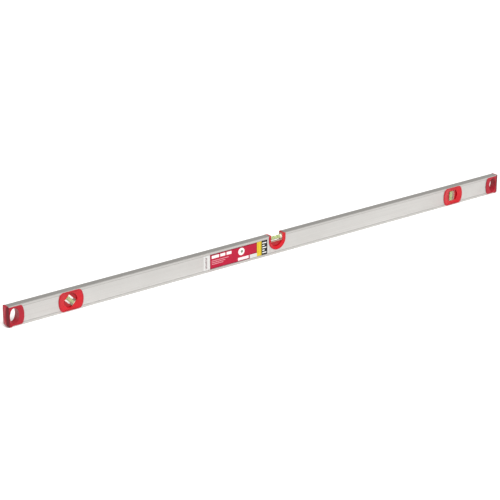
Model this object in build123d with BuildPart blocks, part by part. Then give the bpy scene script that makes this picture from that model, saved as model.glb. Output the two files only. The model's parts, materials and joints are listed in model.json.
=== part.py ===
from build123d import *
from math import atan2, degrees
import os

# A 1500 mm box-section spirit level, standing on its long bottom edge.
# Millimetres. +X runs along the level, -Y is the labelled front, +Z is up.
# The origin is the middle of the bottom working face.

# ---------------------------------------------------------------- driving dimensions
LENGTH = 1500.0
HEIGHT = 50.0
THICKNESS = 18.0

# aluminium box section
RAIL_HEIGHT = 6.0        # raised bands along the top and bottom of each side
WEB_RECESS = 0.4         # how far the side webs lie below the rails
RAIL_BEVEL = 0.6
WEB_WALL = 1.5
WORKING_WALL = 2.4       # thicker top and bottom walls, milled flat
SECTION_RADIUS = 1.5
CAVITY_RADIUS = 1.0
FIN_LENGTH = 2.0         # stiffening fins inside the webs
FIN_WALL = 1.2
FIN_HEIGHT = 9.0         # fin centre above or below the nearer working face

# window inserts near both ends, and the U-shaped insert in the middle
WINDOW_X = 584.0
BEZEL_WIDTH = 65.0
BEZEL_HEIGHT = 46.0
BEZEL_BULGE = 7.0        # how far the window outline's ends bow out
BEZEL_CORNER = 10.0
RIM_WIDTH = 2.5          # flat rim round the dish
FLANGE = 1.2             # flange thickness, standing on the rails
FLANGE_CHAMFER = 0.6
PLUG_INSET = 2.7         # plug outline inside the flange outline
FIT_GAP = 0.2            # plug to the cut edge of the profile
PARTING_GAP = 0.05       # each insert half stops this far from the middle plane
MOULD_WALL = 1.8
CATCH_HEIGHT = 6.0
CATCH_REACH = 1.2
CATCH_RAMP = 3.0
U_WIDTH = 50.6
U_CENTRE = 36.5          # height of the U's arc centre
U_TOP = 49.6

# the vial's round pocket in each insert, as distances from the middle plane
POCKET_RADIUS = 17.3
POCKET_TOP = 7.1         # where the coned dish meets the pocket's wall
POCKET_FLOOR = 3.9
VIAL_WINDOW = 26.0       # length of a tilted vial that its insert leaves in view
BACK_POCKET = 22.0       # height of the pockets moulded into an insert's back

# acrylic vial blocks
VIAL_LENGTH = 37.0
VIAL_WIDTH = 17.0
VIAL_DEPTH = 12.0
VIAL_EDGE = 0.8
SEAT_GAP = 0.15
CENTRE_VIAL_Z = 39.4
PLUMB_TILT = 90.0        # turn of each vial about +Y, from lying along +X
SLOPE_TILT = 45.0
CHAMBER_HALF = 13.5
CHAMBER_RADIUS = 4.8
LIQUID_RADIUS = 4.5      # clear of the reading rings
LIQUID_GAP = 0.03
RING_PITCH = 11.2        # between the two reading lines
RING_WIDTH = 0.7
RING_BORE = 4.55         # inner radius of the reading rings
PLUG_INSET_DEPTH = 0.4   # the stopper's head lies this far inside the block's end
BUBBLE_LENGTH = 10.0
BUBBLE_RADIUS = 2.9
BUBBLE_RISE = 1.5        # bubble axis above the chamber axis, towards the reading side
BUBBLE_CHAMFER = 1.6
BUBBLE_TRAVEL = 8.0      # from the middle of the chamber to either end
CHANNEL_RADIUS = 3.1     # path that the liquid leaves for the bubble
CHANNEL_RISE = 1.6

# end caps
CAP_LENGTH = 46.0
CAP_HEIGHT = 45.0
CAP_PROUD = 0.8          # cheeks stand this far outside the rails
CAP_CROWN = 3.0          # how far the outer end bows out
CAP_PLAN_CORNER = 8.0    # rounding of the outer end as seen from above
CAP_INNER_BULGE = 5.0
CAP_INNER_CORNER = 6.0
CAP_TOP_CORNER = 2.5
CAP_PLATE = 8.0          # stretch of the cap beyond the aluminium
TOE_RADIUS = 12.0        # rounded lower corner that takes the knocks
NOTCH_INSET = 4.0        # the cheek covers the profile's notch by this much
NOTCH_HEIGHT = 42.0
CORE_GAP = 0.2
CAP_WALL = 2.0
BUMPER_WIDTH = 7.0
GROOVE_WIDTH = 1.2
GROOVE_DEPTH = 0.5
HANG_HOLE_WIDTH = 23.0
HANG_HOLE_HEIGHT = 38.0
HANG_HOLE_INSET = 21.5   # hole centre from the end of the level
TONGUE_LENGTH = 34.0
TONGUE_WIDTH = 11.0
TONGUE_WALL = 3.0

# printed label on the front web
LABEL_LEFT = -220.0
LABEL_RIGHT = -27.0
LABEL_HEIGHT = 36.4
LABEL_THICKNESS = 0.15
LABEL_CORNER = 1.5

# ---------------------------------------------------------------- worked-out values
END = LENGTH / 2
MIDDLE = HEIGHT / 2
WEB_FACE = THICKNESS / 2 - WEB_RECESS
WEB_INSIDE = WEB_FACE - WEB_WALL
BEZEL_FACE = THICKNESS / 2 + FLANGE
CHEEK_FACE = THICKNESS / 2 + CAP_PROUD
VIAL_SEAT = VIAL_DEPTH / 2 + SEAT_GAP
U_FLANGE_HALF = U_WIDTH / 2
U_PLUG_HALF = U_FLANGE_HALF - PLUG_INSET
TOE_START = END - CAP_CROWN - TOE_RADIUS
PLATE_START = END - CAP_PLATE
CAP_INNER = END - CAP_LENGTH
HANG_HOLE_X = END - HANG_HOLE_INSET


# ---------------------------------------------------------------- planes and outlines
def side_plane(distance, x=0.0, z=0.0):
    """Sketch plane that faces the front, this far in front of the level's middle plane."""
    return Plane(origin=(x, -distance, z), x_dir=(1, 0, 0), z_dir=(0, -1, 0))


def window_outline(plane, inset=0.0):
    """Window insert outline: flat top and bottom, ends that bow out, round corners."""
    half_width = BEZEL_WIDTH / 2 - inset
    half_height = BEZEL_HEIGHT / 2 - inset
    shoulder = half_width - BEZEL_BULGE
    with BuildSketch(plane) as outline:
        with BuildLine():
            Line((-shoulder, half_height), (shoulder, half_height))
            ThreePointArc((shoulder, half_height), (half_width, 0), (shoulder, -half_height))
            Line((shoulder, -half_height), (-shoulder, -half_height))
            ThreePointArc((-shoulder, -half_height), (-half_width, 0), (-shoulder, half_height))
        make_face()
        fillet(outline.vertices(), radius=BEZEL_CORNER - inset)
    return outline.sketch


def u_outline(distance, half_width, top):
    """U of the middle insert: straight sides up to a height, half-round below."""
    rise = top - U_CENTRE
    with BuildSketch(side_plane(distance, z=U_CENTRE)) as outline:
        with BuildLine():
            ThreePointArc((-half_width, 0), (0, -half_width), (half_width, 0))
            Polyline((half_width, 0), (half_width, rise), (-half_width, rise), (-half_width, 0))
        make_face()
    return outline.sketch


def bowed_field(inner, outer, height):
    """Side view of a field near the end: its inner edge bows towards the level's middle."""
    half = height / 2
    inner_x = inner + CAP_INNER_BULGE
    with BuildSketch(side_plane(0, z=MIDDLE)) as outline:
        with BuildLine():
            Polyline((inner_x, half), (outer, half), (outer, -half), (inner_x, -half))
            ThreePointArc((inner_x, -half), (inner, 0), (inner_x, half))
        make_face()
        fillet(outline.vertices().group_by(Axis.X)[0], radius=CAP_INNER_CORNER)
    return outline.sketch


def crowned_end():
    """Side view of the level's last stretch: crowned outer end, small top corner, round toe."""
    corner_x = END - CAP_CROWN
    with BuildSketch(side_plane(0, z=MIDDLE)) as outline:
        with BuildLine():
            Polyline((corner_x, MIDDLE), (CAP_INNER, MIDDLE), (CAP_INNER, -MIDDLE), (corner_x, -MIDDLE))
            ThreePointArc((corner_x, -MIDDLE), (END, 0), (corner_x, MIDDLE))
        make_face()
        toe_corner = outline.vertices().sort_by_distance((corner_x, -MIDDLE))[0]
        fillet(toe_corner, radius=TOE_RADIUS)
        top_corner = outline.vertices().sort_by_distance((corner_x, MIDDLE))[0]
        fillet(top_corner, radius=CAP_TOP_CORNER)
    return outline.sketch


# ---------------------------------------------------------------- aluminium profile
def profile_section():
    """Closed box section with raised rails, thick working walls and four inner fins."""
    half = THICKNESS / 2
    rail_top = HEIGHT - RAIL_HEIGHT
    with BuildSketch(Plane.YZ.offset(-PLATE_START)) as section:
        with BuildLine():
            Polyline(
                (0, 0),
                (half, 0),
                (half, RAIL_HEIGHT),
                (WEB_FACE, RAIL_HEIGHT + RAIL_BEVEL),
                (WEB_FACE, rail_top - RAIL_BEVEL),
                (half, rail_top),
                (half, HEIGHT),
                (0, HEIGHT),
            )
            mirror(about=Plane.YZ)
        make_face()
        sides = section.vertices().group_by(Axis.X)
        corners = [side.sort_by(Axis.Y)[end] for side in (sides[0], sides[-1]) for end in (0, -1)]
        fillet(corners, radius=SECTION_RADIUS)
        with Locations((0, MIDDLE)):
            RectangleRounded(2 * WEB_INSIDE, HEIGHT - 2 * WORKING_WALL, CAVITY_RADIUS, mode=Mode.SUBTRACT)
        fin_y = WEB_INSIDE - FIN_LENGTH / 2
        fin_z = MIDDLE - FIN_HEIGHT
        with Locations((0, MIDDLE)):
            with GridLocations(2 * fin_y, 2 * fin_z, 2, 2):
                Rectangle(FIN_LENGTH + WEB_WALL / 2, FIN_WALL)
    return section.sketch


with BuildPart() as aluminium_profile:
    extrude(profile_section(), amount=2 * PLATE_START)
    # windows for the plumb and the slope inserts
    for window_x in (-WINDOW_X, WINDOW_X):
        opening = window_outline(side_plane(0, x=window_x, z=MIDDLE), inset=PLUG_INSET - FIT_GAP)
        extrude(opening, amount=THICKNESS, both=True, mode=Mode.SUBTRACT)
    # U-shaped cut for the middle insert, open at the top
    u_cut = u_outline(0, half_width=U_PLUG_HALF + FIT_GAP, top=HEIGHT + 1)
    extrude(u_cut, amount=THICKNESS, both=True, mode=Mode.SUBTRACT)
    # notches for the caps' hang holes, and the lower wall cut back for the caps' toes
    notch = bowed_field(CAP_INNER + NOTCH_INSET, END, NOTCH_HEIGHT)
    notch_cut = extrude(notch, amount=THICKNESS, both=True, mode=Mode.SUBTRACT)
    with BuildSketch(side_plane(0)):
        with Locations((TOE_START, 0)):
            Rectangle(TOE_RADIUS, 2 * TOE_RADIUS, align=(Align.MIN, Align.CENTER))
    toe_cut = extrude(amount=THICKNESS, both=True, mode=Mode.SUBTRACT)
    mirror(notch_cut, about=Plane.YZ, mode=Mode.SUBTRACT)
    mirror(toe_cut, about=Plane.YZ, mode=Mode.SUBTRACT)


# ---------------------------------------------------------------- end caps
def end_plate_outline():
    """The part of the cap's side view that lies beyond the aluminium: thin plate and round toe."""
    with BuildSketch(side_plane(0)) as beyond:
        with Locations((PLATE_START, MIDDLE)):
            Rectangle(CAP_PLATE, HEIGHT, align=(Align.MIN, Align.CENTER))
        with Locations((TOE_START, 0)):
            Rectangle(END - TOE_START, TOE_RADIUS, align=(Align.MIN, Align.MIN))
    return beyond.sketch & crowned_end()


def plan_outline():
    """Top view of the cap, its outer corners well rounded."""
    with BuildSketch() as outline:
        with Locations((END, 0)):
            Rectangle(2 * CAP_LENGTH, 2 * CHEEK_FACE, align=(Align.MAX, Align.CENTER))
        fillet(outline.vertices().group_by(Axis.X)[-1], radius=CAP_PLAN_CORNER)
    return outline.sketch


def make_end_cap():
    """Right-hand cap: crowned bumper, two cheeks, hollow core, hang hole and tongues."""
    with BuildPart() as cap:
        # cheeks with the core between them
        cheek = bowed_field(CAP_INNER, END, CAP_HEIGHT) & crowned_end()
        extrude(cheek, amount=CHEEK_FACE, both=True)
        faces = cap.faces().filter_by(Axis.Y)
        chamfer(faces.edges(), length=CAP_PROUD / 2)
        # room for the profile's rails and webs between the cheeks
        with BuildSketch(side_plane(0)):
            with Locations((PLATE_START, MIDDLE)):
                Rectangle(2 * CAP_LENGTH, HEIGHT, align=(Align.MAX, Align.CENTER))
        extrude(amount=THICKNESS / 2, both=True, mode=Mode.SUBTRACT)
        core_inner = CAP_INNER + NOTCH_INSET + CORE_GAP
        core = bowed_field(core_inner, END, NOTCH_HEIGHT - 2 * CORE_GAP) & crowned_end()
        extrude(core, amount=THICKNESS / 2, both=True)
        # end plate and toe over the whole section
        extrude(end_plate_outline(), amount=THICKNESS / 2, both=True)
        # tongues that slide inside the profile between its fins
        tongue_z = MIDDLE - WORKING_WALL - CORE_GAP - TONGUE_WALL / 2
        tongue_x = CAP_INNER + CAP_INNER_BULGE
        with Locations((tongue_x, 0, MIDDLE - tongue_z), (tongue_x, 0, MIDDLE + tongue_z)):
            Box(TONGUE_LENGTH, TONGUE_WIDTH, TONGUE_WALL)
        # hollow core, moulded open towards the inside of the level
        hollow_end = HANG_HOLE_X - HANG_HOLE_WIDTH / 2 - CAP_WALL
        with Locations((hollow_end, 0, MIDDLE)):
            Box(
                hollow_end - CAP_INNER,
                2 * WEB_INSIDE,
                NOTCH_HEIGHT - 2 * CAP_WALL,
                align=(Align.MAX, Align.CENTER, Align.CENTER),
                mode=Mode.SUBTRACT,
            )
        # crescent groove between the bumper and the cheek field, on both sides
        groove_outer = cheek.moved(Location((-BUMPER_WIDTH, 0, 0)))
        groove_inner = cheek.moved(Location((-BUMPER_WIDTH - GROOVE_WIDTH, 0, 0)))
        groove = extrude(groove_outer - groove_inner, amount=CHEEK_FACE, both=True, mode=Mode.PRIVATE)
        groove_floor = extrude(groove_outer, amount=CHEEK_FACE - GROOVE_DEPTH, both=True, mode=Mode.PRIVATE)
        add(groove - groove_floor, mode=Mode.SUBTRACT)
        # hang hole right through, with its upright oval outline
        with BuildSketch(side_plane(0, x=HANG_HOLE_X, z=MIDDLE)):
            Ellipse(HANG_HOLE_WIDTH / 2, HANG_HOLE_HEIGHT / 2)
        extrude(amount=THICKNESS, both=True, mode=Mode.SUBTRACT)
        # outer corners rounded as seen from above
        extrude(plan_outline(), amount=HEIGHT, mode=Mode.INTERSECT)
    return cap.part


# ---------------------------------------------------------------- vial inserts
def coned_dish():
    """Shallow cone from the window insert's rim down to the round pocket."""
    depth = BEZEL_FACE - POCKET_TOP
    with BuildPart() as dish:
        extrude(window_outline(side_plane(POCKET_TOP), inset=RIM_WIDTH), amount=depth)
        with Locations(side_plane(POCKET_TOP)):
            Cone(
                POCKET_RADIUS,
                BEZEL_WIDTH / 2 - RIM_WIDTH,
                depth,
                align=(Align.CENTER, Align.CENTER, Align.MIN),
                mode=Mode.INTERSECT,
            )
    return dish.part


def snap_catches(half_width):
    """Two ramped catches that grip behind the web, one at each end of an insert."""
    with BuildPart() as catches:
        with BuildSketch(Plane.XY.offset(-CATCH_HEIGHT / 2)):
            with BuildLine():
                Polyline(
                    (half_width - MOULD_WALL / 2, -WEB_INSIDE + CORE_GAP),
                    (half_width + CATCH_REACH, -WEB_INSIDE + CORE_GAP),
                    (half_width - MOULD_WALL / 2, -WEB_INSIDE + CORE_GAP + CATCH_RAMP),
                    close=True,
                )
            make_face()
        extrude(amount=CATCH_HEIGHT)
        mirror(about=Plane.YZ)
    return catches.part


def make_window_bezel(tilt):
    """Front half of a window insert whose vial leans tilt degrees from the level's length."""
    dish = coned_dish()
    catches = snap_catches(BEZEL_WIDTH / 2 - PLUG_INSET)
    with BuildPart() as bezel:
        # flange on the rails, with its outer edge broken
        extrude(window_outline(side_plane(THICKNESS / 2)), amount=FLANGE)
        chamfer(bezel.faces().sort_by(Axis.Y)[0].edges(), length=FLANGE_CHAMFER)
        # plug that fills the window back to the middle plane
        plug = window_outline(side_plane(PARTING_GAP), inset=PLUG_INSET)
        extrude(plug, amount=THICKNESS / 2 - PARTING_GAP)
        add(catches)
        # coned dish, a pocket that leaves a shelf over each end of the vial, and the vial's seat
        add(dish, mode=Mode.SUBTRACT)
        with BuildSketch(side_plane(POCKET_FLOOR)):
            Circle(POCKET_RADIUS)
            Rectangle(VIAL_WINDOW, 2 * POCKET_RADIUS, rotation=tilt, mode=Mode.INTERSECT)
        extrude(amount=BEZEL_FACE - POCKET_FLOOR, mode=Mode.SUBTRACT)
        with BuildSketch(side_plane(0)):
            Rectangle(VIAL_LENGTH + 2 * SEAT_GAP, VIAL_WIDTH + 2 * SEAT_GAP, rotation=tilt)
        extrude(amount=VIAL_SEAT, mode=Mode.SUBTRACT)
        # hollow back: a moulded pocket at each end of the plug
        seat_reach = VIAL_LENGTH / 2 + SEAT_GAP + MOULD_WALL
        back_reach = BEZEL_WIDTH / 2 - PLUG_INSET - MOULD_WALL
        with BuildSketch(side_plane(0)):
            with Locations(((seat_reach + back_reach) / 2, 0), (-(seat_reach + back_reach) / 2, 0)):
                Rectangle(back_reach - seat_reach, BACK_POCKET)
        extrude(amount=POCKET_TOP - MOULD_WALL, mode=Mode.SUBTRACT)
    return bezel.part


def make_centre_bezel():
    """Front half of the U-shaped middle insert, open at the top over its vial."""
    catches = snap_catches(U_PLUG_HALF).moved(Location((0, 0, U_CENTRE)))
    scoop_depth = BEZEL_FACE - POCKET_TOP
    scoop_taper = degrees(atan2(U_FLANGE_HALF - RIM_WIDTH - POCKET_RADIUS, scoop_depth))
    above = HEIGHT + U_WIDTH
    vial_bottom = CENTRE_VIAL_Z - VIAL_WIDTH / 2 - SEAT_GAP
    with BuildPart() as bezel:
        extrude(u_outline(THICKNESS / 2, U_FLANGE_HALF, U_TOP), amount=FLANGE)
        chamfer(bezel.faces().sort_by(Axis.Y)[0].edges(), length=FLANGE_CHAMFER)
        extrude(u_outline(PARTING_GAP, U_PLUG_HALF, U_TOP), amount=THICKNESS / 2 - PARTING_GAP)
        add(catches)
        # bowl-shaped scoop, then the straight-walled pocket
        scoop = u_outline(POCKET_TOP, POCKET_RADIUS, above)
        extrude(scoop, amount=scoop_depth, taper=-scoop_taper, mode=Mode.SUBTRACT)
        pocket = u_outline(POCKET_FLOOR, POCKET_RADIUS, above)
        extrude(pocket, amount=BEZEL_FACE - POCKET_FLOOR, mode=Mode.SUBTRACT)
        # seat for the vial, and the open slot over it
        with BuildSketch(side_plane(0, z=CENTRE_VIAL_Z)):
            Rectangle(VIAL_LENGTH + 2 * SEAT_GAP, VIAL_WIDTH + 2 * SEAT_GAP)
        extrude(amount=VIAL_SEAT, mode=Mode.SUBTRACT)
        with BuildSketch(side_plane(0, z=vial_bottom)):
            Rectangle(2 * POCKET_RADIUS, HEIGHT, align=(Align.CENTER, Align.MIN))
        extrude(amount=BEZEL_FACE, mode=Mode.SUBTRACT)
    return bezel.part


# ---------------------------------------------------------------- vials
def make_vial_block():
    """Clear block with its chamber, which is bored from one end."""
    with BuildPart() as block:
        Box(VIAL_LENGTH, VIAL_DEPTH, VIAL_WIDTH)
        chamfer(block.edges().filter_by(Axis.X), length=VIAL_EDGE)
        with BuildSketch(Plane.YZ.offset(-CHAMBER_HALF)):
            Circle(CHAMBER_RADIUS)
        extrude(amount=CHAMBER_HALF + VIAL_LENGTH / 2, mode=Mode.SUBTRACT)
    return block.part


def make_vial_plug():
    """Stopper that closes the bore."""
    with BuildPart() as stopper:
        with BuildSketch(Plane.YZ.offset(CHAMBER_HALF)):
            Circle(CHAMBER_RADIUS)
        extrude(amount=VIAL_LENGTH / 2 - CHAMBER_HALF - PLUG_INSET_DEPTH)
    return stopper.part


def make_vial_rings():
    """The two black reading lines, as thin rings that line the chamber wall."""
    with BuildPart() as rings:
        for ring_x in (-RING_PITCH / 2, RING_PITCH / 2):
            with BuildSketch(Plane.YZ.offset(ring_x - RING_WIDTH / 2)):
                Circle(CHAMBER_RADIUS)
                Circle(RING_BORE, mode=Mode.SUBTRACT)
            extrude(amount=RING_WIDTH)
    return rings.part


def make_vial_liquid():
    """Liquid along the whole chamber, less the path the bubble takes on its reading side."""
    half = CHAMBER_HALF - LIQUID_GAP
    with BuildPart() as liquid:
        with BuildSketch(Plane.YZ.offset(-half)):
            Circle(LIQUID_RADIUS)
            with Locations((0, CHANNEL_RISE)):
                Circle(CHANNEL_RADIUS, mode=Mode.SUBTRACT)
        extrude(amount=2 * half)
    return liquid.part


def make_bubble():
    """Air bubble on the chamber's reading side."""
    with BuildPart() as air:
        with BuildSketch(Plane.YZ.offset(-BUBBLE_LENGTH / 2)):
            with Locations((0, BUBBLE_RISE)):
                Circle(BUBBLE_RADIUS)
        extrude(amount=BUBBLE_LENGTH)
        chamfer(air.edges().filter_by(GeomType.CIRCLE), length=BUBBLE_CHAMFER)
    return air.part


# ---------------------------------------------------------------- printed label
with BuildPart() as front_label:
    label_centre = (LABEL_LEFT + LABEL_RIGHT) / 2
    with BuildSketch(side_plane(WEB_FACE, x=label_centre, z=MIDDLE)):
        RectangleRounded(LABEL_RIGHT - LABEL_LEFT, LABEL_HEIGHT, LABEL_CORNER)
    extrude(amount=LABEL_THICKNESS)


# ---------------------------------------------------------------- assembly and export
os.makedirs("parts", exist_ok=True)


def save(piece, name):
    """Label a finished piece and write its STEP file."""
    piece.label = name
    export_step(piece, f"parts/{name}.step")


save(aluminium_profile.part, "aluminium_profile")
save(front_label.part, "front_label")

end_cap = make_end_cap()
save(end_cap, "end_cap_right")
save(mirror(end_cap, about=Plane.YZ), "end_cap_left")

centre_bezel = make_centre_bezel()
save(centre_bezel, "centre_bezel_front")
save(mirror(centre_bezel, about=Plane.XZ), "centre_bezel_back")

# each vial: where its middle lies, how its axis leans in the side view, and where its bubble rests
VIALS = {
    "centre": (Location((0, 0, CENTRE_VIAL_Z)), 0),
    "plumb": (Location((WINDOW_X, 0, MIDDLE), (0, PLUMB_TILT, 0)), -BUBBLE_TRAVEL),
    "slope": (Location((-WINDOW_X, 0, MIDDLE), (0, SLOPE_TILT, 0)), -BUBBLE_TRAVEL),
}
for vial_name, (place, bubble_rest) in VIALS.items():
    save(make_vial_block().moved(place), f"{vial_name}_vial_block")
    save(make_vial_plug().moved(place), f"{vial_name}_vial_plug")
    save(make_vial_rings().moved(place), f"{vial_name}_vial_rings")
    save(make_vial_liquid().moved(place), f"{vial_name}_vial_liquid")
    bubble = make_bubble().moved(Location((bubble_rest, 0, 0)))
    save(bubble.moved(place), f"{vial_name}_vial_bubble")

for bezel_name, window_x, tilt in (("plumb", WINDOW_X, PLUMB_TILT), ("slope", -WINDOW_X, SLOPE_TILT)):
    front_half = make_window_bezel(-tilt).moved(Location((window_x, 0, MIDDLE)))
    save(front_half, f"{bezel_name}_bezel_front")
    save(mirror(front_half, about=Plane.XZ), f"{bezel_name}_bezel_back")
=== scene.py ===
"""Looks for the 1500 mm box-section spirit level. Metres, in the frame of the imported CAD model."""

import json
from math import cos, pi, radians, sin

import bpy
from mathutils import Matrix, Vector


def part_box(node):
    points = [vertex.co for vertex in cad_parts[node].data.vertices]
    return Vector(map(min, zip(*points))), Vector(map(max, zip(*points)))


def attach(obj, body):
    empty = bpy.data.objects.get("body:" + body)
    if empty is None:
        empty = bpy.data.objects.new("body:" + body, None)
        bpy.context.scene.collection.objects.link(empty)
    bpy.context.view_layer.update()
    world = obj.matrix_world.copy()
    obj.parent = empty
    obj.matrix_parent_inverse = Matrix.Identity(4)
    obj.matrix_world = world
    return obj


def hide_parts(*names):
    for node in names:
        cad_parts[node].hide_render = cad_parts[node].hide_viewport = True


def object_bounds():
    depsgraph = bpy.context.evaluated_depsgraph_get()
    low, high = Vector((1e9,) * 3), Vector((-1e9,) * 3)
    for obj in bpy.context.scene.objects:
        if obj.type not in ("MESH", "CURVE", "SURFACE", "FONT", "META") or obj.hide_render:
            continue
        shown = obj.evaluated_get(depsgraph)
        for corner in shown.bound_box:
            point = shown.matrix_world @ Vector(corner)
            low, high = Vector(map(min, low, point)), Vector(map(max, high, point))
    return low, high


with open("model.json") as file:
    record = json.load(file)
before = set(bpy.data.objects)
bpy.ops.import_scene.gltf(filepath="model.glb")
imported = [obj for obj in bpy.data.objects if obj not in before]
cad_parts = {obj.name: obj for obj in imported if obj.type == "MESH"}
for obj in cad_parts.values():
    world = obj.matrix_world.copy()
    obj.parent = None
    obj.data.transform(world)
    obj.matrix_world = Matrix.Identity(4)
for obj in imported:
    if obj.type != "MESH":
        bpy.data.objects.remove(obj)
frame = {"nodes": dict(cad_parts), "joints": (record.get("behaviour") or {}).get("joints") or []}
cad_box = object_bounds()
scene = bpy.context.scene

# ---------------------------------------------------------------- sizes, in metres
MM = 0.001
LIQUID_RADIUS = 4.5 * MM     # inside the reading lines, so that they stay in view
LIQUID_HALF = 13.45 * MM
BUBBLE_HALF = 5.0 * MM
BUBBLE_RADIUS = 3.3 * MM
BUBBLE_WALL = 4.53 * MM      # the bubble shows through the liquid's surface, clear of the reading lines
VIALS = ("centre", "plumb", "slope")

RAIL_HEIGHT = 6.0 * MM
STEP_SHADOW = 0.7 * MM              # width of the painted shadow line where a rail steps down to the web
POCKET_DEEP = 3.9 * MM       # painted shade deep in an insert's pocket fades out between these distances from the middle plane
POCKET_LIT = 6.8 * MM
RIM_START = 9.9 * MM         # painted shade turns an insert's rim a darker crimson between these
RIM_FULL = 10.1 * MM
CORNER_START = 9.5 * MM      # painted shade turns a cap's corner maroon between these distances from the level's end
CORNER_FULL = 7.0 * MM
CORNER_INSIDE = 5.0 * MM     # and between these distances from the middle plane
CORNER_OUTSIDE = 8.0 * MM
BADGE_RADIUS = 9.2 * MM      # white disc on the label, and its core
BADGE_CORE_RADIUS = 3.6 * MM
FLOOR_SIZE = 30.0

# ---------------------------------------------------------------- the photograph's view
VIEW_AZIMUTH = radians(-37.13)
VIEW_ELEVATION = radians(21.23)
VIEW_DISTANCE = 4.112
FOCAL_LENGTH = 121.97        # millimetres, on a 36 mm sensor
AIM_RIGHT = -0.0668          # the optical axis passes this far from the level's middle
AIM_UP = -0.0144


# ---------------------------------------------------------------- node helpers
def new_material(name):
    """An empty node material with its Principled shader, and the shader itself."""
    material = bpy.data.materials.new(name)
    material.use_nodes = True
    shader = material.node_tree.nodes["Principled BSDF"]
    return material, shader


def add_node(tree, kind, **settings):
    """A node with its properties set."""
    node = tree.nodes.new(kind)
    for name, value in settings.items():
        setattr(node, name, value)
    return node


def connect(tree, value, socket):
    """Joins an output to a socket, or sets a plain value on it."""
    if isinstance(value, bpy.types.NodeSocket):
        tree.links.new(value, socket)
    else:
        socket.default_value = value


def maths(tree, operation, *values):
    """Output of a Math node."""
    node = add_node(tree, "ShaderNodeMath", operation=operation)
    for socket, value in zip(node.inputs, values):
        connect(tree, value, socket)
    return node.outputs[0]


def mix_colour(tree, factor, first, second):
    """Output of a colour Mix node."""
    node = add_node(tree, "ShaderNodeMix", data_type="RGBA")
    connect(tree, factor, node.inputs["Factor"])
    for socket_name, value in (("A", first), ("B", second)):
        socket = [s for s in node.inputs if s.name == socket_name and s.type == "RGBA"][0]
        if not isinstance(value, bpy.types.NodeSocket):
            value = (*value, 1.0)
        connect(tree, value, socket)
    return [s for s in node.outputs if s.type == "RGBA"][0]


def place(tree, scale=(1, 1, 1)):
    """Point on the object in metres, stretched by a scale for each axis."""
    coordinates = add_node(tree, "ShaderNodeTexCoord")
    mapping = add_node(tree, "ShaderNodeMapping")
    mapping.inputs["Scale"].default_value = scale
    tree.links.new(coordinates.outputs["Object"], mapping.inputs["Vector"])
    return mapping.outputs[0]


def noise(tree, scale, stretch=(1, 1, 1), detail=3.0):
    """Noise value, scale in cycles per metre, stretched along chosen axes."""
    node = add_node(tree, "ShaderNodeTexNoise")
    node.inputs["Scale"].default_value = scale
    node.inputs["Detail"].default_value = detail
    tree.links.new(place(tree, stretch), node.inputs["Vector"])
    return node.outputs[0]


def remap(tree, value, low, high, start=0.0, end=1.0):
    """Value taken from the range start..end to low..high, clamped."""
    node = add_node(tree, "ShaderNodeMapRange")
    node.inputs["From Min"].default_value = start
    node.inputs["From Max"].default_value = end
    node.inputs["To Min"].default_value = low
    node.inputs["To Max"].default_value = high
    tree.links.new(value, node.inputs["Value"])
    return node.outputs[0]


def bump(tree, shader, height, strength, distance):
    """Relief from a height value."""
    node = add_node(tree, "ShaderNodeBump")
    node.inputs["Strength"].default_value = strength
    node.inputs["Distance"].default_value = distance
    tree.links.new(height, node.inputs["Height"])
    tree.links.new(node.outputs[0], shader.inputs["Normal"])


def span(tree, value, low, high):
    """1 where the value lies between low and high."""
    return maths(tree, "COMPARE", value, (low + high) / 2, (high - low) / 2)


def both(tree, first, second):
    """Product of two values: 1 where both masks are 1."""
    return maths(tree, "MULTIPLY", first, second)


def either(tree, shapes):
    """1 where any of the shapes is 1."""
    result = shapes[0]
    for shape in shapes[1:]:
        result = maths(tree, "MAXIMUM", result, shape)
    return result


def set_material(piece, material):
    """Gives the whole piece one material."""
    piece.data.materials.clear()
    piece.data.materials.append(material)


# ---------------------------------------------------------------- materials
def aluminium():
    """Natural anodised extrusion: fine drawn lines along the level, faint handling marks, painted shade on
    the rails, and painted shadow lines where the rails step down to the web.
    """
    material, shader = new_material("aluminium")
    tree = material.node_tree
    low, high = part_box("aluminium_profile")
    height = add_node(tree, "ShaderNodeSeparateXYZ")
    tree.links.new(place(tree), height.inputs[0])
    z = height.outputs["Z"]
    lower_rail = span(tree, z, low.z - MM, low.z + RAIL_HEIGHT)
    upper_rail = span(tree, z, high.z - RAIL_HEIGHT, high.z + MM)
    rails = either(tree, [lower_rail, upper_rail])
    # painted shadow: a narrow band along each step from rail to web
    step_shadows = either(tree, [span(tree, z, edge - STEP_SHADOW / 2, edge + STEP_SHADOW / 2)
                          for edge in (low.z + RAIL_HEIGHT, high.z - RAIL_HEIGHT)])
    drawn_lines = noise(tree, 900.0, (0.004, 1, 1), 2.0)
    cloud = noise(tree, 9.0, (0.5, 1, 1), 4.0)
    scuffs = noise(tree, 140.0, (0.35, 1, 1), 6.0)
    tone = mix_colour(tree, remap(tree, cloud, 0, 1, 0.3, 0.7), (0.535, 0.525, 0.51), (0.58, 0.57, 0.555))
    streaked = mix_colour(tree, remap(tree, drawn_lines, 0, 0.5, 0.35, 0.7), tone, (0.475, 0.465, 0.45))
    # painted shade: both rails painted a tone darker than the web
    rail_shaded = mix_colour(tree, maths(tree, "MULTIPLY", rails, 0.55), streaked, (0.475, 0.465, 0.445))
    # painted shadow: the step bands painted near black
    step_shadowed = mix_colour(tree, maths(tree, "MULTIPLY", step_shadows, 0.75), rail_shaded, (0.22, 0.21, 0.20))
    tree.links.new(step_shadowed, shader.inputs["Base Color"])
    shader.inputs["Metallic"].default_value = 1.0
    worn = remap(tree, scuffs, 0.0, 0.10, 0.55, 0.75)
    drawn = remap(tree, drawn_lines, 0.34, 0.42)
    tree.links.new(maths(tree, "ADD", worn, drawn), shader.inputs["Roughness"])
    bump(tree, shader, drawn_lines, 0.25, 0.00003)
    return material


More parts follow.
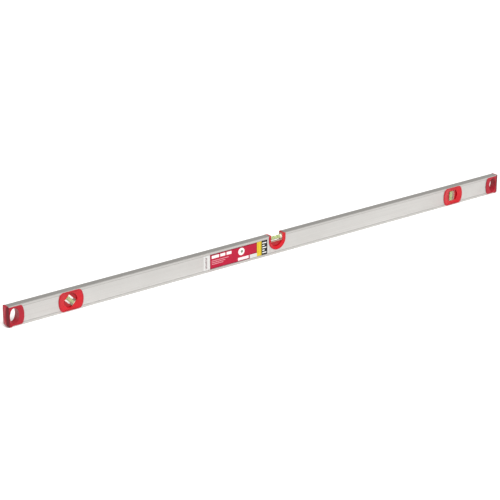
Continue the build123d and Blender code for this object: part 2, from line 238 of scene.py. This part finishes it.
def distance_out(tree, axis):
    """Distance of a surface point from the level's middle plane across one axis."""
    split = add_node(tree, "ShaderNodeSeparateXYZ")
    tree.links.new(place(tree), split.inputs[0])
    return maths(tree, "ABSOLUTE", split.outputs[axis])


def insert_rim_and_pocket_shade(tree, tone):
    """Painted shade: a darker crimson on the outermost rim face, and dark painted shade deep in the pocket.
    """
    depth = distance_out(tree, "Y")
    # painted shade deep in the pocket, fading out towards the dish walls
    shade = remap(tree, depth, 0.35, 0.0, POCKET_DEEP, POCKET_LIT)
    # painted shade on the outermost rim face: a darker crimson
    rim = remap(tree, depth, 0.0, 0.6, RIM_START, RIM_FULL)
    return mix_colour(tree, rim, mix_colour(tree, shade, tone, (0.10, 0.002, 0.004)), (0.33, 0.004, 0.018))


def cap_corner_shade(tree, tone):
    """Painted shade: maroon on the rounded upright corners between the cheeks and the end face."""
    end = cad_box[1].x
    near_end = remap(tree, distance_out(tree, "X"), 0.0, 1.0, end - CORNER_START, end - CORNER_FULL)
    near_side = remap(tree, distance_out(tree, "Y"), 0.0, 1.0, CORNER_INSIDE, CORNER_OUTSIDE)
    corner = both(tree, near_end, near_side)
    # painted shade on the corners, a maroon darker than the cap
    return mix_colour(tree, corner, tone, (0.10, 0.002, 0.007))


def moulded_plastic(name, colour, shade, roughness, grain, zones):
    """Red moulded plastic: fine grain, slightly uneven gloss, and zones of painted shade from the given
    function.
    """
    material, shader = new_material(name)
    tree = material.node_tree
    uneven = noise(tree, 60.0, (1, 1, 1), 4.0)
    texture = noise(tree, 2600.0, (1, 1, 1), 2.0)
    tone = mix_colour(tree, remap(tree, uneven, 0, 1, 0.3, 0.7), colour, shade)
    tree.links.new(zones(tree, tone), shader.inputs["Base Color"])
    gloss = remap(tree, uneven, roughness - 0.05, roughness + 0.07, 0.3, 0.7)
    tree.links.new(gloss, shader.inputs["Roughness"])
    shader.inputs["Specular IOR Level"].default_value = 0.3
    bump(tree, shader, texture, grain, 0.00004)
    return material


def acrylic():
    """Cast acrylic of the vial blocks: see-through, with a milky cream body."""
    material, shader = new_material("vial_acrylic")
    tree = material.node_tree
    haze = noise(tree, 300.0, (1, 1, 1), 3.0)
    tree.links.new(remap(tree, haze, 0.0, 0.05, 0.4, 0.7), shader.inputs["Roughness"])
    tint = mix_colour(tree, haze, (0.90, 0.84, 0.66), (0.87, 0.81, 0.62))
    tree.links.new(tint, shader.inputs["Base Color"])
    shader.inputs["Alpha"].default_value = 0.15
    shader.inputs["IOR"].default_value = 1.49
    return material


def vial_liquid():
    """Yellow-green spirit."""
    material, shader = new_material("vial_liquid")
    tree = material.node_tree
    depth = noise(tree, 120.0, (1, 1, 1), 2.0)
    tint = mix_colour(tree, depth, (0.20, 0.36, 0.012), (0.16, 0.31, 0.008))
    tree.links.new(tint, shader.inputs["Base Color"])
    tree.links.new(remap(tree, depth, 0.0, 0.02), shader.inputs["Roughness"])
    shader.inputs["Alpha"].default_value = 0.88
    shader.inputs["IOR"].default_value = 1.36
    return material


def air_bubble():
    """Air in the liquid: an opaque pale, bright drop, its colour painted light for the light that comes
    through the bubble.
    """
    material, shader = new_material("air_bubble")
    tree = material.node_tree
    film = noise(tree, 400.0, (1, 1, 1), 2.0)
    # painted light: pale colour for the light that comes through the bubble
    tint = mix_colour(tree, film, (0.84, 0.90, 0.52), (0.78, 0.86, 0.44))
    tree.links.new(tint, shader.inputs["Base Color"])
    tree.links.new(remap(tree, film, 0.0, 0.02), shader.inputs["Roughness"])
    shader.inputs["IOR"].default_value = 1.3
    return material


def milky_plastic():
    """Translucent white stoppers."""
    material, shader = new_material("vial_stopper")
    tree = material.node_tree
    swirl = noise(tree, 200.0, (1, 1, 1), 3.0)
    tint = mix_colour(tree, swirl, (0.92, 0.90, 0.80), (0.86, 0.84, 0.72))
    tree.links.new(tint, shader.inputs["Base Color"])
    tree.links.new(remap(tree, swirl, 0.3, 0.42), shader.inputs["Roughness"])
    shader.inputs["Subsurface Weight"].default_value = 0.4
    shader.inputs["Subsurface Radius"].default_value = (0.002, 0.002, 0.0015)
    return material


def ring_ink():
    """Black reading lines."""
    material, shader = new_material("ring_ink")
    tree = material.node_tree
    grain = noise(tree, 3000.0, (1, 1, 1), 2.0)
    tint = mix_colour(tree, grain, (0.012, 0.012, 0.012), (0.03, 0.03, 0.03))
    tree.links.new(tint, shader.inputs["Base Color"])
    tree.links.new(remap(tree, grain, 0.35, 0.55), shader.inputs["Roughness"])
    return material


# ---------------------------------------------------------------- printed label
def label_print():
    """Film label: red field, yellow stripe, black block with a rule, and plain white shapes."""
    low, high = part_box("front_label")
    left, bottom = low.x, low.z
    width, height = high.x - low.x, high.z - low.z
    material, shader = new_material("label_print")
    tree = material.node_tree
    split = add_node(tree, "ShaderNodeSeparateXYZ")
    tree.links.new(place(tree), split.inputs[0])
    x, z = split.outputs["X"], split.outputs["Z"]

    def bar(x0, x1, z0, z1):
        """Rectangle, in shares of the label's width and height."""
        across = span(tree, x, left + x0 * width, left + x1 * width)
        upright = span(tree, z, bottom + z0 * height, bottom + z1 * height)
        return both(tree, across, upright)

    def disc(x_share, z_share, radius):
        """Disc with its centre in shares of the label, radius in metres."""
        dx = maths(tree, "SUBTRACT", x, left + x_share * width)
        dz = maths(tree, "SUBTRACT", z, bottom + z_share * height)
        squares = maths(tree, "ADD", both(tree, dx, dx), both(tree, dz, dz))
        return maths(tree, "LESS_THAN", squares, radius * radius)

    red_field = either(tree, [bar(0.106, 0.699, 0.05, 0.95), bar(0.690, 0.812, 0.31, 0.95)])
    outline = either(tree, [bar(0.098, 0.707, 0.0, 1.0), bar(0.693, 0.820, 0.26, 1.0)])
    title_bars = either(tree, [bar(0.125, 0.235, 0.70, 0.90), bar(0.255, 0.330, 0.70, 0.90),
                               bar(0.350, 0.425, 0.70, 0.90)])
    small_bars = either(tree, [bar(0.125, 0.380, 0.52, 0.56), bar(0.125, 0.330, 0.40, 0.44),
                               bar(0.125, 0.300, 0.28, 0.32)])
    edge_ticks = either(tree, [bar(0.028, 0.055, 0.10 + 0.09 * i, 0.145 + 0.09 * i) for i in range(9)])
    badge = disc(0.578, 0.66, BADGE_RADIUS)
    badge_core = disc(0.585, 0.66, BADGE_CORE_RADIUS)
    white_strip = bar(0.525, 0.690, 0.06, 0.26)
    yellow = bar(0.820, 0.890, 0.0, 1.0)
    yellow_lines = either(tree, [bar(0.834, 0.840, 0.0, 1.0), bar(0.868, 0.874, 0.0, 1.0)])
    black = bar(0.890, 0.985, 0.0, 1.0)
    rule = either(tree, [bar(0.905, 0.968 if i % 2 == 0 else 0.940, 0.12 + 0.17 * i, 0.19 + 0.17 * i)
                         for i in range(5)])

    fade = noise(tree, 70.0, (1, 1, 1), 4.0)
    colour = mix_colour(tree, fade, (0.50, 0.50, 0.49), (0.56, 0.56, 0.55))
    colour = mix_colour(tree, edge_ticks, colour, (0.12, 0.05, 0.06))
    red = mix_colour(tree, fade, (0.33, 0.004, 0.026), (0.38, 0.005, 0.032))
    layers = (
        (outline, (0.17, 0.004, 0.02)),
        (red_field, red),
        (title_bars, (0.72, 0.68, 0.68)),
        (small_bars, (0.60, 0.28, 0.32)),
        (badge, (0.74, 0.74, 0.72)),
        (badge_core, (0.15, 0.20, 0.14)),
        (white_strip, (0.72, 0.62, 0.63)),
        (yellow, (0.60, 0.45, 0.02)),
        (yellow_lines, (0.26, 0.16, 0.01)),
        (black, (0.012, 0.012, 0.012)),
        (rule, (0.70, 0.70, 0.68)),
    )
    for mask, ink in layers:
        colour = mix_colour(tree, mask, colour, ink)
    tree.links.new(colour, shader.inputs["Base Color"])
    tree.links.new(remap(tree, fade, 0.26, 0.38, 0.3, 0.7), shader.inputs["Roughness"])
    shader.inputs["Specular IOR Level"].default_value = 0.15
    shader.inputs["Coat Weight"].default_value = 0.05
    shader.inputs["Coat Roughness"].default_value = 0.15
    bump(tree, shader, noise(tree, 500.0, (1, 1, 1), 2.0), 0.08, 0.0001)
    return material


# ---------------------------------------------------------------- vial contents
def lathe(name, outline, segments=64):
    """Mesh turned about X from (along, radius) points, closed at both ends."""
    vertices, faces = [], []
    for along, radius in outline:
        for k in range(segments):
            angle = 2 * pi * k / segments
            vertices.append((along, radius * cos(angle), radius * sin(angle)))
    rings = len(outline)
    for i in range(rings - 1):
        for k in range(segments):
            k2 = (k + 1) % segments
            a, b = i * segments + k, i * segments + k2
            faces.append((a, a + segments, b + segments, b))
    faces.append(tuple(range(segments)))
    faces.append(tuple((rings - 1) * segments + k for k in reversed(range(segments))))
    mesh = bpy.data.meshes.new(name)
    mesh.from_pydata(vertices, [], faces)
    mesh.validate()
    for polygon in mesh.polygons:
        polygon.use_smooth = len(polygon.vertices) == 4
    piece = bpy.data.objects.new(name, mesh)
    scene.collection.objects.link(piece)
    return piece


def liquid_outline(rim=0.5 * MM, steps=4):
    """Straight body of liquid with rounded rims."""
    turns = [pi / 2 * i / steps for i in range(steps + 1)]
    start = [(-LIQUID_HALF + rim * (1 - sin(turn)), LIQUID_RADIUS - rim * (1 - cos(turn)))
             for turn in reversed(turns)]
    return start + [(-along, distance) for along, distance in reversed(start)]


def bubble_outline(rows=32):
    """Long drop with full, round ends."""
    points = []
    for i in range(rows + 1):
        turn = pi * i / rows
        along = -BUBBLE_HALF * cos(turn)
        share = abs(along / BUBBLE_HALF)
        radius = BUBBLE_RADIUS * max(0.02, (1 - share ** 3) ** (1 / 2.2))
        points.append((along, radius))
    return points


def along_axis(direction):
    """Turns local X onto a vial's axis, keeping the reading side up."""
    return Matrix.Rotation(-Vector((direction.x, direction.z)).angle_signed(Vector((1, 0))), 4, "Y")


def fill_vials(liquid_material, bubble_material):
    """Body of liquid and a wall-hugging bubble in each vial."""
    joints = {joint["child"]: joint for joint in frame["joints"]}
    for vial in VIALS:
        low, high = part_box(f"{vial}_vial_block")
        middle = (low + high) / 2
        axis = Vector(joints[f"{vial}_bubble"]["axis"])
        turn = along_axis(axis)

        liquid = lathe(f"{vial}_liquid_body", liquid_outline())
        liquid.data.transform(Matrix.Translation(middle) @ turn)
        set_material(liquid, liquid_material)
        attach(liquid, "level")
        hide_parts(f"{vial}_vial_liquid")

        cad_low, cad_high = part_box(f"{vial}_vial_bubble")
        bubble_middle = (cad_low + cad_high) / 2
        bubble = lathe(f"{vial}_bubble_body", bubble_outline())
        bubble.data.transform(Matrix.Translation(bubble_middle) @ turn)
        for vertex in bubble.data.vertices:
            offset = vertex.co - middle
            along = offset.dot(axis)
            outward = offset - axis * along
            if outward.length > BUBBLE_WALL:
                vertex.co = middle + axis * along + outward.normalized() * BUBBLE_WALL
        set_material(bubble, bubble_material)
        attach(bubble, f"{vial}_bubble")
        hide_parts(f"{vial}_vial_bubble")


# ---------------------------------------------------------------- stage, light and camera
def make_stage():
    """Pale floor under the level."""
    material, shader = new_material("studio_floor")
    tree = material.node_tree
    speckle = noise(tree, 3.0, (1, 1, 1), 2.0)
    tint = mix_colour(tree, speckle, (0.90, 0.90, 0.90), (0.92, 0.92, 0.92))
    tree.links.new(tint, shader.inputs["Base Color"])
    shader.inputs["Roughness"].default_value = 0.9
    shader.inputs["Specular IOR Level"].default_value = 0.1
    bpy.ops.mesh.primitive_plane_add(size=FLOOR_SIZE, location=(0, 0, cad_box[0].z))
    floor = bpy.context.object
    floor.name = "studio_floor"
    set_material(floor, material)


def make_lights():
    """Even studio light: dim surround, one broad key from the front."""
    world = bpy.data.worlds.new("studio")
    world.use_nodes = True
    scene.world = world
    tree = world.node_tree
    background = tree.nodes["Background"]
    background.inputs["Color"].default_value = (1.0, 0.985, 0.96, 1.0)
    background.inputs["Strength"].default_value = 0.58
    key = bpy.data.lights.new("key", "SUN")
    key.energy = 3.5
    key.angle = radians(50)
    key_object = bpy.data.objects.new("key", key)
    key_object.rotation_euler = (radians(38), 0, radians(-22))
    scene.collection.objects.link(key_object)


def make_camera():
    """Camera at the photograph's angle, aimed just beside the level's middle."""
    low, high = cad_box
    subject = Vector(((low.x + high.x) / 2, low.y, (low.z + high.z) / 2))
    forward = Vector((
        -sin(VIEW_AZIMUTH) * cos(VIEW_ELEVATION),
        cos(VIEW_AZIMUTH) * cos(VIEW_ELEVATION),
        -sin(VIEW_ELEVATION),
    ))
    right = forward.cross(Vector((0, 0, 1))).normalized()
    up = right.cross(forward)
    aim = subject + right * AIM_RIGHT + up * AIM_UP
    data = bpy.data.cameras.new("camera")
    data.lens = FOCAL_LENGTH
    camera = bpy.data.objects.new("camera", data)
    camera.location = aim - forward * VIEW_DISTANCE
    camera.rotation_euler = forward.to_track_quat("-Z", "Y").to_euler()
    scene.collection.objects.link(camera)
    scene.camera = camera


# ---------------------------------------------------------------- build
def dress_cad():
    """Materials for the CAD nodes that stay visible."""
    metal = aluminium()
    cap = moulded_plastic(
        "cap_plastic", (0.34, 0.003, 0.018), (0.29, 0.003, 0.014), roughness=0.36, grain=0.12, zones=cap_corner_shade
    )
    insert = moulded_plastic(
        "insert_plastic", (0.47, 0.005, 0.013), (0.42, 0.005, 0.011), roughness=0.28, grain=0.06,
        zones=insert_rim_and_pocket_shade
    )
    clear, stopper, ink = acrylic(), milky_plastic(), ring_ink()
    by_node = {"aluminium_profile": metal, "front_label": label_print()}
    for side in ("left", "right"):
        by_node[f"end_cap_{side}"] = cap
    for vial in VIALS:
        by_node[f"{vial}_bezel_front"] = insert
        by_node[f"{vial}_bezel_back"] = insert
        by_node[f"{vial}_vial_block"] = clear
        by_node[f"{vial}_vial_plug"] = stopper
        by_node[f"{vial}_vial_rings"] = ink
    for node, material in by_node.items():
        set_material(frame["nodes"][node], material)


dress_cad()
fill_vials(vial_liquid(), air_bubble())
make_stage()
make_lights()
make_camera()
scene.view_settings.view_transform = "Standard"
